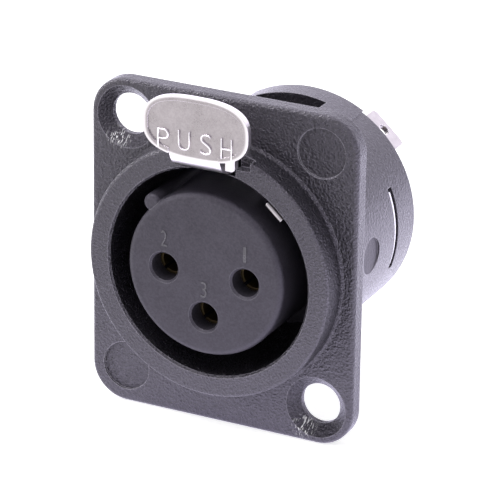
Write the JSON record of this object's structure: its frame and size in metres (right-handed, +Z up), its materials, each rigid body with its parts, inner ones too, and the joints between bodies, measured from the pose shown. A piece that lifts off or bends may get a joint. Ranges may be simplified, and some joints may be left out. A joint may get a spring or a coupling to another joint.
{
  "type": "xlr panel socket",
  "caption": "Three-pole panel socket for a round audio plug: die-cast flange with barrel, moulded insert, sleeve contacts, ground spring and a sprung push latch.",
  "frame": {"origin": "on the barrel axis, on the rear face of the flange, which lies against the panel", "axes": "+Y along the barrel towards the rear, -Y out of the front, +Z up towards the latch, +X to the right seen from the front"},
  "size_m": [0.026, 0.0263, 0.0326],
  "materials": {
    "black_casting": "black coated zinc die casting, fine texture, satin",
    "insert_plastic": "moulded glass-filled plastic, matt",
    "contact_metal": "turned brass, gold flashed",
    "spring_steel": "bright spring steel",
    "tinned_strip": "tin plated bronze strip",
    "latch_nickel": "stamped steel, satin nickel plate"
  },
  "bodies": {
    "socket": {"housing": "black_casting", "contact_insert": "insert_plastic", "contact_1": "contact_metal", "contact_2": "contact_metal", "contact_3": "contact_metal", "rear_plate": "insert_plastic", "snap_ring": "spring_steel", "ground_contact": "tinned_strip", "latch_pin": "spring_steel", "latch_spring": "spring_steel"},
    "latch": {"latch_lever": "latch_nickel"}
  },
  "joints": [
    {"name": "latch_push", "type": "hinge", "parent": "socket", "child": "latch", "pos_m": [0, 0.006, 0.00995], "axis": [-1, 0, 0], "range_deg": [0, 9], "stiffness_Nm_per_rad": 0.02, "springref_deg": -17.19, "deforming": ["latch_spring"]}
  ]
}
